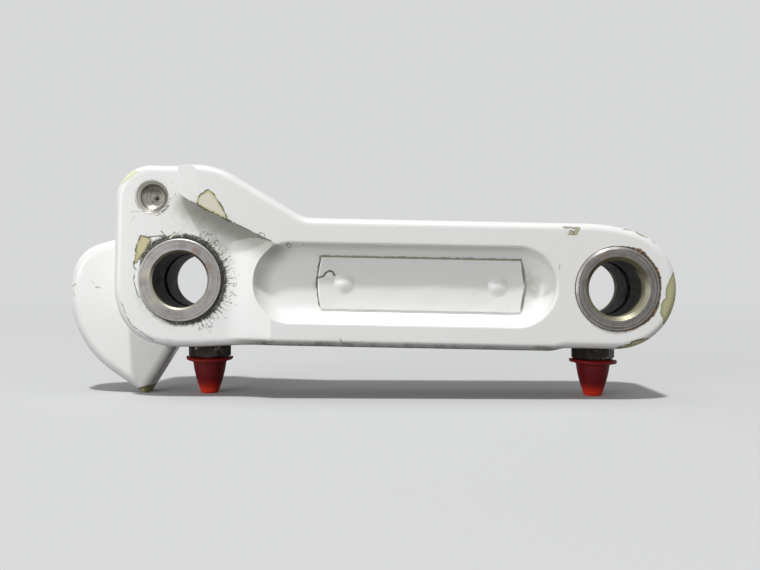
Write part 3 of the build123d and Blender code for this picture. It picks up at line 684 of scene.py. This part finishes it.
# Lathe-turned steel: grooves round its own bore, cross marks and stains, with painted light and shade in its
# mouth and down its bore
def makeBushingSteel(name, look):
    r = Recipe(name)
    centre = look["centre"]
    reach = r.radius(centre)
    depth = r.gap(r.y, look["middle"])
    grooves = r.lineNoise(reach, 0.4, 3.0, 0.75)
    fineGrooves = r.lineNoise(reach, 0.13, 2.0)
    swept = r.node("CombineXYZ", {0: r.times(r.turn(centre), 60.0), 1: r.times(reach, 0.6), 2: 0.0})
    lay = r.noise(1.0, 4.0, 0.7, swept.outputs[0])
    blotch = r.rise(r.noise(3.2, 4.0, 0.65), 0.42, 0.7)
    dark = r.add(
        r.times(look["groove"], r.rise(grooves, 0.38, 0.62)),
        r.times(look["lay"], r.rise(lay, 0.42, 0.62)), r.times(0.28, blotch), r.times(0.12, fineGrooves),
    )
    metal = r.mix(r.least(dark, 1.0), look["bright"], look["dull"])
    for place, size, tone in look["stains"]:
        spot = r.rise(r.add(r.radius(place), r.times(size, r.noise(1.3))), size * 1.5, size * 0.6)
        metal = r.mix(r.times(spot, 0.55), metal, tone)
    rim = r.rise(reach, 11.45, 11.62)
    metal = r.mix(r.times(rim, look["rim"]), metal, (0.72, 0.71, 0.69))

    # painted light and shade: the mouth's chamfer is painted cream where it faces up and dark in its upper part,
    # where it faces down; the bore is painted nearly black as shade, and low on the far side of the knee bore a
    # lit patch is painted
    mouthLightAndShade = r.mix(r.sector(centre, 35.0, 150.0, 40.0), look["mouthLit"], (0.12, 0.1, 0.06))
    mouth = r.rise(reach, look["mouth"] + 0.05, look["mouth"] - 0.05)
    metal = r.mix(r.times(mouth, 0.9), metal, mouthLightAndShade)
    # painted shade down the bore, and a painted lit patch low in the knee bore
    bore = r.times(r.rise(reach, 9.4, 9.3), r.rise(depth, look["wall"], look["wall"] - 0.7))
    boreShade = r.mix(r.rise(r.noise(1.8, 4.0), 0.4, 0.65), (0.012, 0.012, 0.01), (0.045, 0.042, 0.035))
    kneeBoreLight = r.times(r.rise(depth, 11.5, 15.0), r.sector(centre, -80.0, 25.0, 25.0), r.rise(r.x, 90.0, 100.0))
    metal = r.mix(bore, metal, r.mix(kneeBoreLight, boreShade, (0.34, 0.31, 0.2)))
    pits = r.times(r.rise(r.cells(0.9), 0.1, 0.05), r.rise(r.noise(2.2, 2.0), 0.54, 0.62))
    metal = r.mix(r.times(pits, 0.7), metal, (0.06, 0.05, 0.04))
    height = r.add(
        r.times(0.03 * (0.4 + look["groove"]), grooves), r.times(0.01, fineGrooves), r.times(0.006, lay),
        r.times(-0.03, pits), r.times(0.02, bore, r.noise(0.8)),
    )
    rough = r.add(0.27, r.times(0.14, grooves), r.times(0.14, blotch), r.times(0.25, bore), r.times(0.1, lay))
    return r.finish(
        Base_Color=metal, Metallic=r.minus(0.95, r.times(0.9, bore)), Roughness=rough,
        Specular_IOR_Level=0.2, Normal=r.bump(height, r.bevel(0.0002)),
    )


pinSettings = {
    "centre": pinPlace, "cup": 3.45, "bright": (0.78, 0.76, 0.73), "dull": (0.4, 0.38, 0.32),
    "oldGreaseAndShade": (0.045, 0.034, 0.026), "black": (0.012, 0.011, 0.01),
}


# The pin's turned end: its upper half and the top of its cup are painted dark, as shade together with brown old
# grease, and its lower half stays bright, painted as lit
def makePinSteel(look):
    r = Recipe("lockPinSteel")
    across, up = look["centre"]
    reach = r.radius(look["centre"])
    height = r.minus(r.z, up)
    side = r.minus(r.x, across)
    grooves = r.lineNoise(reach, 0.32, 3.0, 0.7)
    wander = r.times(1.6, r.minus(r.noise(1.4, 4.0, 0.7), 0.5))
    metal = r.mix(r.rise(grooves, 0.35, 0.65), look["bright"], look["dull"])
    upperShadeAndGrease = r.rise(r.add(height, wander, r.times(0.35, side)), -1.2, 2.0)
    metal = r.mix(r.times(upperShadeAndGrease, 0.7), metal, look["dull"])
    wall = r.rise(r.gap(reach, look["cup"]), 0.45, 0.15)
    metal = r.mix(r.times(wall, r.add(0.25, r.times(0.45, upperShadeAndGrease))), metal, look["oldGreaseAndShade"])
    inside = r.rise(reach, look["cup"] - 0.15, look["cup"] - 0.35)
    cupTopShadeAndGrease = r.rise(r.add(height, r.times(1.6, wander)), 0.5, 2.2)
    metal = r.mix(r.times(inside, cupTopShadeAndGrease, 0.55), metal, look["oldGreaseAndShade"])
    patchy = r.noise(1.0, 4.0, 0.7)
    metal = r.mix(r.times(inside, r.rise(patchy, 0.52, 0.62), 0.5), metal, look["oldGreaseAndShade"])
    heart = r.rise(r.add(r.radius((across + 0.6, up - 0.1)), r.times(2.4, patchy)), 2.2, 1.5)
    metal = r.mix(heart, metal, look["black"])
    bump = r.add(r.times(0.02, grooves), r.times(0.02, r.noise(0.8), upperShadeAndGrease))
    return r.finish(
        Base_Color=metal, Metallic=r.minus(0.95, r.times(0.5, inside)),
        Roughness=r.add(0.22, r.times(0.25, grooves), r.times(0.2, cupTopShadeAndGrease)),
        Normal=r.bump(bump, r.bevel(0.0002)),
    )


fittingSettings = {
    "bright": (0.34, 0.31, 0.26), "grease": (0.024, 0.019, 0.014), "worn": (0.15, 0.13, 0.1),
}


# Plated hexagons, nearly black with grease, with a few wiped flecks
def makeFittingSteel(look):
    r = Recipe("fittingSteel")
    grease = r.rise(r.noise(2.2, 5.0, 0.65), 0.26, 0.46)
    metal = r.mix(grease, look["bright"], look["grease"])
    scratches = r.noise(0.4, 2.0, 0.6, r.vector("MULTIPLY", r.place, (1.0, 1.0, 0.15)))
    metal = r.mix(r.times(0.3, r.rise(scratches, 0.52, 0.7)), metal, look["worn"])
    height = r.add(r.times(0.06, grease, r.noise(0.9)), r.times(0.012, scratches))
    return r.finish(
        Base_Color=metal, Metallic=0.75, Roughness=r.add(0.32, r.times(0.25, grease)),
        Normal=r.bump(height, r.bevel(0.0003)),
    )


def makeBallSteel():
    r = Recipe("ballSteel")
    swirl = r.noise(0.5)
    return r.finish(
        Base_Color=r.mix(swirl, (0.62, 0.62, 0.62), (0.52, 0.51, 0.5)), Metallic=1.0,
        Roughness=r.add(0.15, r.times(0.15, swirl)), Normal=r.bump(r.times(0.004, swirl)),
    )


capSettings = {
    "bright": (0.8, 0.045, 0.022), "deep": (0.14, 0.004, 0.006), "dust": (0.2, 0.05, 0.045),
    "floor": -34.15, "flange": -24.2,
}


# Soft red rubber: painted shade makes it deep red towards the top, and painted light makes it bright towards the
# thin tip
def makeCapRubber(look):
    r = Recipe("capRubber")
    raw = r.node("SeparateXYZ", {0: r.node("TexCoord").outputs["Object"]}).outputs[2]
    up = r.add(r.times(raw, 1000.0), r.times(1.6, r.minus(r.noise(2.6, 2.0), 0.5)))
    glow = r.rise(up, look["floor"] + 4.4, look["floor"] + 0.2)
    red = r.mix(glow, look["deep"], look["bright"])
    # painted highlight: the flange is painted a little brighter
    flange = r.rise(up, look["flange"] - 0.5, look["flange"])
    red = r.mix(r.times(flange, 0.12), red, look["bright"])
    dust = r.times(r.rise(r.noise(1.3, 5.0, 0.7), 0.46, 0.72), r.away(glow))
    red = r.mix(r.times(dust, 0.25), red, look["dust"])
    height = r.add(r.times(0.02, r.noise(2.4)), r.times(0.008, r.noise(0.35, 2.0)))
    return r.finish(
        Base_Color=red, Roughness=r.add(0.46, r.times(0.25, dust)), IOR=1.45, Specular_IOR_Level=0.22,
        Subsurface_Weight=0.3, Subsurface_Radius=(0.9, 0.1, 0.06), Subsurface_Scale=0.0015,
        Normal=r.bump(height, r.bevel(0.0003)),
    )


# Dried grease: a dark crust with crumbs of one other colour in it
def makeGrease(name, crust, crumb):
    r = Recipe(name)
    crumbs = r.noise(0.4, 4.0, 0.75)
    tone = r.mix(r.rise(crumbs, 0.5, 0.66), crust, crumb)
    return r.finish(
        Base_Color=tone, Roughness=r.add(0.55, r.times(0.3, crumbs)), Normal=r.bump(r.times(0.14, crumbs)),
    )


linkPaint = makeLinkPaint(paintSettings)
platePaint = makePlatePaint(paintSettings)
bushingSteel = {eye: makeBushingSteel(eye + "BushingSteel", steelSettings[eye]) for eye in ("pivot", "knee")}
pinSteel = makePinSteel(pinSettings)
fittingSteel = makeFittingSteel(fittingSettings)
ballSteel = makeBallSteel()
capRubber = makeCapRubber(capSettings)
blackGrease = makeGrease("blackGrease", (0.022, 0.022, 0.018), (0.115, 0.115, 0.08))
brownGrease = makeGrease("brownGrease", (0.05, 0.034, 0.02), (0.3, 0.175, 0.075))
finishes = {
    "link_body": linkPaint, "lock_pin": pinSteel, "identity_plate": platePaint,
    "left_plate_rivet": platePaint, "right_plate_rivet": platePaint,
}
for eye in ("pivot", "knee"):
    finishes[eye + "_bushing_front"] = finishes[eye + "_bushing_rear"] = bushingSteel[eye]
    finishes[eye + "_grease_fitting"] = fittingSteel
    finishes[eye + "_check_ball"] = finishes[eye + "_check_spring"] = ballSteel
    finishes[eye + "_fitting_cap"] = capRubber
for name, material in finishes.items():
    if not cadNodes[name].material_slots:
        cadNodes[name].data.materials.append(material)
    for place in cadNodes[name].material_slots:
        place.material = material
print("stage: materials,", len(bpy.data.materials))


# From millimetres with the bores level to metres in the standing frame
def standing(x, y, z):
    return np.stack([
        x * math.cos(lean) + z * math.sin(lean), y + 0.0 * x, z * math.cos(lean) - x * math.sin(lean),
    ], axis=-1) / 1000.0


# Quads between each row and the row below it, in rings that close on themselves
def ringQuads(index, below):
    return np.stack([index, np.roll(index, -1, 1), np.roll(below, -1, 1), below], -1).reshape(-1, 4).tolist()


def facePiece(name, points, faces, material, body):
    mesh = bpy.data.meshes.new(name)
    mesh.from_pydata(points.reshape(-1, 3).tolist(), [], faces)
    mesh.polygons.foreach_set("use_smooth", np.ones(len(mesh.polygons), bool))
    mesh.materials.append(material)
    mesh.update()
    piece = addObject(name, mesh)
    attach(piece, body)
    return piece


plateSettings = {
    "halfLength": 29.7, "halfHeight": 7.5, "bow": 1.1, "rivets": (-22.0, 22.0), "rivetRise": 0.9,
    "rivetWidth": 3.2, "coat": 0.06, "dish": 0.3, "sag": 0.12, "ripple": 0.06, "columns": 300, "rows": 84,
    "wrinkle": 0.26, "wrinklePlace": (-26.2, 2.2), "wrinkleSize": (2.6, 0.8),
    "rimDrop": 0.18, "rimWidth": 0.35, "lipWave": 0.05, "lipWidth": 1.2,
}


# The painted plate with the paint drawn smoothly over its rivets: height over a grid of length and height,
# a flat back a plate's thickness behind, and a rounded rim between them
def makePlateCoat(settings):
    low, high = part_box("identity_plate")
    middle = (low + high) / 2 * 1000
    centreX = middle.x * math.cos(lean) - middle.z * math.sin(lean)
    centreZ = middle.x * math.sin(lean) + middle.z * math.cos(lean)
    front, back = low.y * 1000, high.y * 1000
    u = np.linspace(-1, 1, settings["columns"])[None, :]
    v = np.linspace(-1, 1, settings["rows"])[:, None]
    reach = settings["halfLength"] - settings["bow"] * (v * v)  # columns bend with the bowed ends
    x = u * reach
    z = v * settings["halfHeight"] + 0.0 * u
    height = settings["coat"] - settings["dish"] * (1 - v**4) * (1 - u**8) + 0.0 * x
    for rivet in settings["rivets"]:
        distance = np.sqrt((x - rivet) ** 2 + z**2) / settings["rivetWidth"]
        height = height + settings["rivetRise"] * np.clip(1 - distance**2, 0, 1) ** 1.7
    # slight waves where the thin sheet bridges the hollow, and a wrinkle near its left end
    height = height + settings["sag"] * np.sin(x * 0.19 + 0.6) * (1 - v * v)
    height = height + settings["ripple"] * np.sin(x * 0.47) * np.cos(z * 0.5)
    across, up = settings["wrinklePlace"]
    length, width = settings["wrinkleSize"]
    wrinkle = np.abs(z - up - 0.7 * np.sin((x + 27) * 0.8)) / width
    height = height + settings["wrinkle"] * np.exp(-wrinkle**2) * np.exp(-((x - across) / length) ** 2)
    # the rim rounds off, and its upper side waves a little
    edge = np.minimum((1 - np.abs(v)) * settings["halfHeight"], (1 - np.abs(u)) * reach)
    height = height - settings["rimDrop"] * (1 - np.clip(edge / settings["rimWidth"], 0, 1)) ** 2
    lip = 1 - np.clip(edge / settings["lipWidth"], 0, 1)
    height = height + settings["lipWave"] * np.sin(x * 1.3) * lip * (v > 0)
    frontPoints = standing(x + centreX, front - height, z + centreZ)
    backPoints = standing(x + centreX, back + 0.0 * x, z + centreZ)
    rows, columns = x.shape
    points = np.concatenate([frontPoints.reshape(-1, 3), backPoints.reshape(-1, 3)])
    index = np.arange(rows * columns).reshape(rows, columns)
    quads = np.stack([index[:-1, :-1], index[:-1, 1:], index[1:, 1:], index[1:, :-1]], -1).reshape(-1, 4)
    rear = quads[:, ::-1] + rows * columns
    rim = np.concatenate([index[0, :], index[1:, -1], index[-1, -2::-1], index[-2:0:-1, 0]])
    following = np.roll(rim, -1)
    sides = np.stack([following, rim, rim + rows * columns, following + rows * columns], -1)
    faces = np.concatenate([quads, rear, sides]).tolist()
    piece = facePiece("plate_coat", points, faces, platePaint, "link")
    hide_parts("identity_plate", "left_plate_rivet", "right_plate_rivet")


# Swell is pairs of degrees and the share of the full width there
beadSettings = {
    "pivot_grease_front": {
        "face": -16.65, "side": -1, "width": 1.25, "rise": 0.5, "seed": 3,
        "swell": [
            (0, 0.9), (60, 0.8), (85, 0.75), (97, 0.25), (112, 0.45), (126, 0.05), (200, 0.0), (255, 0.15),
            (285, 0.55), (315, 0.9), (360, 0.9),
        ],
    },
    "knee_grease_front": {
        "face": -20.65, "side": -1, "width": 0.95, "rise": 0.55, "seed": 8,
        "swell": [
            (0, 0.35), (18, 0.85), (34, 0.35), (52, 0.95), (68, 0.3), (84, 0.1), (120, 0.0), (270, 0.0),
            (300, 0.3), (322, 0.8), (342, 0.25), (360, 0.35),
        ],
    },
    "pivot_grease_rear": {
        "face": 16.65, "side": 1, "width": 1.1, "rise": 0.45, "seed": 12,
        "swell": [(0, 0.1), (60, 0.2), (140, 0.5), (200, 0.9), (260, 0.7), (330, 0.3), (360, 0.1)],
    },
    "knee_grease_rear": {
        "face": 12.65, "side": 1, "width": 1.0, "rise": 0.45, "seed": 17,
        "swell": [(0, 0.2), (50, 0.4), (110, 0.9), (180, 0.7), (230, 0.2), (360, 0.2)],
    },
}
beadShape = {
    "steps": 900, "section": 14, "inner": 11.68, "leastWidth": 0.16, "leastRise": 0.1, "sunk": 0.04,
    "waves": (5, 9, 14, 23, 37, 58, 83, 120),
}


# A bead of dried grease in the corner between a bushing's flange and the eye: a closed ring whose section
# grows and shrinks round the bore. The ragged edge is a sum of waves with seeded phases.
def makeGreaseBead(name, settings, shape):
    centre, material = (pivotEye, blackGrease) if name.startswith("pivot") else (kneeEye, brownGrease)
    phases = np.random.default_rng(settings["seed"])
    steps, section = shape["steps"], shape["section"]
    turn = np.linspace(0, math.tau, steps, endpoint=False)
    share = np.interp(np.degrees(turn), *zip(*settings["swell"]))
    rough = np.zeros(steps)
    lumps = np.zeros((steps, section))
    around = np.linspace(0, math.tau, section, endpoint=False)
    for wave in shape["waves"]:
        shift, tilt = phases.uniform(0, math.tau, 2)
        rough += np.sin(turn * wave + shift) / wave**0.35
        lumps += np.sin(turn[:, None] * wave + around * 2 + tilt) / wave**0.5
    rough = 0.5 + 0.5 * rough / np.abs(rough).max()
    lumps = lumps / np.abs(lumps).max()
    width = shape["leastWidth"] + settings["width"] * share * (0.2 + 0.8 * rough)
    rise = shape["leastRise"] + settings["rise"] * np.sqrt(share) * (0.3 + 0.7 * rough)
    across = shape["inner"] + width[:, None] * (0.5 - 0.5 * np.cos(around)) * (1 + 0.22 * lumps)
    out = rise[:, None] * np.sin(around) * (0.7 - 0.3 * np.cos(around + math.pi)) * (1 + 0.3 * lumps)
    out = np.where(out < 0, -shape["sunk"], out)
    x = centre[0] + across * np.cos(turn)[:, None]
    z = centre[1] + across * np.sin(turn)[:, None]
    points = standing(x, settings["face"] + settings["side"] * out, z)
    if settings["side"] > 0:
        points = points[:, ::-1]
    # rows run round the bore and columns round the section, and both meet their own starts
    index = np.arange(steps * section).reshape(steps, section)
    facePiece(name, points, ringQuads(index, np.roll(index, -1, 0)), material, "link")


# A cap's outline from its closed tip, up its outside, over the flange and down its inside: radius and
# height above the floor in millimetres
capProfile = [
    (0.9, 0.0), (2.3, 0.0), (2.65, 0.25), (3.2, 1.9), (3.8, 3.7), (4.45, 6.2), (4.82, 8.2), (5.0, 9.6),
    (5.4, 9.98), (6.6, 10.02), (7.0, 10.12), (7.0, 10.86), (6.6, 10.98), (4.5, 10.98), (4.2, 10.7), (4.1, 9.4),
    (3.95, 7.6), (3.45, 4.9), (2.6, 3.1), (2.0, 1.3), (1.8, 0.92), (0.9, 0.9),
]
capShapes = {
    "pivot_cap_skin": {"node": "pivot_fitting_cap", "body": "pivot_cap", "wave": 0.2, "tilt": 0.02, "curl": 0.35},
    "knee_cap_skin": {"node": "knee_fitting_cap", "body": "knee_cap", "wave": 0.1, "tilt": 0.22, "curl": 0.1},
}


# A soft cap: the outline, with its corners cut twice, is turned about its axis. The flange sags by a cosine
# of twice the turn at the front and back and of the turn towards one side, and its two ends curl up.
def makeCapSkin(name, settings):
    low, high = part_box(settings["node"])
    middle = (low + high) * 500
    profile = np.array(capProfile)
    for smoothing in range(2):
        cut = np.stack([0.75 * profile[:-1] + 0.25 * profile[1:], 0.25 * profile[:-1] + 0.75 * profile[1:]], 1)
        profile = np.concatenate([profile[:1], cut.reshape(-1, 2), profile[-1:]])
    steps = 96
    turn = np.linspace(0, math.tau, steps, endpoint=False)[None, :]
    radius, height = profile[:, :1], profile[:, 1:]
    flare = np.clip((radius - 4.9) / 2.1, 0, 1) * np.clip((height - 9.2) / 0.8, 0, 1)
    sag = settings["wave"] * (np.cos(2 * turn) - 1) - settings["tilt"] * (1 + np.cos(turn))
    curl = settings["curl"] * np.cos(turn) ** 4 * np.clip((radius - 6.2) / 0.8, 0, 1) ** 2
    points = np.stack([
        middle.x + radius * np.cos(turn), middle.y + radius * np.sin(turn),
        low.z * 1000 + height + flare * sag + curl,
    ], -1) / 1000
    index = np.arange(len(profile) * steps).reshape(-1, steps)
    faces = ringQuads(index[:-1], index[1:]) + [index[0, ::-1].tolist(), index[-1].tolist()]
    piece = facePiece(name, points, faces, capRubber, settings["body"])
    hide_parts(settings["node"])


# The coil over a check ball, as the solids have it, copied in the ball's steel
def makeCoil(eye):
    node = cadNodes[eye + "_check_spring"]
    coil = addObject(eye + "_spring_coil", node.data.copy())
    coil.data.materials.clear()
    coil.data.materials.append(ballSteel)
    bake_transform(coil)
    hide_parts(node.name)


makeCoil("pivot")
makeCoil("knee")
makePlateCoat(plateSettings)
for name, settings in beadSettings.items():
    makeGreaseBead(name, settings, beadShape)
for name, settings in capShapes.items():
    makeCapSkin(name, settings)
print("stage: new pieces")


# The floor's rings and its fade are in metres from the brace
stageSettings = {
    "pale": (0.68, 0.685, 0.69), "dim": (0.12, 0.12, 0.12), "clouds": (0.6, 0.6, 0.6),
    "rings": (0.12, 0.3, 0.9, 3.0), "steps": 96, "fade": (0.25, 1.5), "world": 0.33,
    "key": {"strength": 2.1, "spread": 4.5, "from": (-0.06, -0.4, 0.915)},
    "fill": {"power": 7.9, "size": 0.75, "place": (-0.62, -0.9, 0.05), "aim": (0.055, 0.0, 0.0)},
}


# Whether light of this kind sees the surface itself: the camera, or a reflection or something clear
def seenDirectly(r):
    path = r.node("LightPath").outputs
    return r.most(path["Is Camera Ray"], path["Is Glossy Ray"], path["Is Transmission Ray"])


# A wide round floor: pale to the eye and in reflections, dim to soft light, and fading out far from the brace
def makeFloor(settings):
    steps = settings["steps"]
    turn = np.linspace(0, math.tau, steps, endpoint=False)
    rings = np.array(settings["rings"])[:, None]
    x = (cadBox[0].x + cadBox[1].x) / 2 + rings * np.cos(turn)
    y = rings * np.sin(turn)
    points = np.stack([x, y, np.full_like(x, cadBox[0].z)], -1).reshape(-1, 3)
    index = np.arange(len(rings) * steps).reshape(-1, steps)
    mesh = bpy.data.meshes.new("floor")
    mesh.from_pydata(points.tolist(), [], ringQuads(index[1:], index[:-1]) + [index[0].tolist()])
    floor = addObject("floor", mesh)
    r = Recipe("floorSurface")
    direct = seenDirectly(r)
    tone = r.mix(direct, settings["dim"], settings["pale"])
    tone = r.mix(r.times(0.03, r.noise(60.0)), tone, settings["clouds"])
    near = r.node("BsdfDiffuse", {"Color": tone})
    far = r.node("Emission", {"Color": settings["pale"], "Strength": 1.0})
    fade = r.rise(r.vector("LENGTH", r.place), *[reach * 1000 for reach in settings["fade"]])
    blend = r.node("MixShader", {0: r.times(fade, direct), 1: near.outputs[0], 2: far.outputs[0]})
    r.node("OutputMaterial", {"Surface": blend.outputs[0]})
    mesh.materials.append(r.material)


def makeWorld(settings):
    world = bpy.data.worlds.new("studio")
    world.use_nodes = True
    r = Builder(world.node_tree)
    direct = seenDirectly(r)
    soft = r.node("Background", {"Color": (1.0, 1.0, 1.0), "Strength": settings["world"]})
    pale = r.node("Background", {"Color": settings["pale"]})
    blend = r.node("MixShader", {0: direct, 1: soft.outputs[0], 2: pale.outputs[0]})
    r.node("OutputWorld", {"Surface": blend.outputs[0]})
    bpy.context.scene.world = world


# A sun from above the brace, and a soft lamp far enough to the left that no front face mirrors it
def makeLights(settings):
    sun, lamp = settings["key"], settings["fill"]
    key = bpy.data.lights.new("keyLight", "SUN")
    key.energy, key.angle = sun["strength"], math.radians(sun["spread"])
    addObject("keyLight", key).rotation_euler = Vector(sun["from"]).to_track_quat("Z", "Y").to_euler()
    fill = bpy.data.lights.new("fillLight", "AREA")
    fill.shape, fill.size, fill.energy = "DISK", lamp["size"], lamp["power"]
    box = addObject("fillLight", fill)
    box.location = lamp["place"]
    box.rotation_euler = (Vector(lamp["aim"]) - Vector(lamp["place"])).to_track_quat("-Z", "Y").to_euler()


makeFloor(stageSettings)
makeWorld(stageSettings)
makeLights(stageSettings)
bpy.context.scene.view_settings.view_transform = "Standard"
print("stage: floor, light and background")
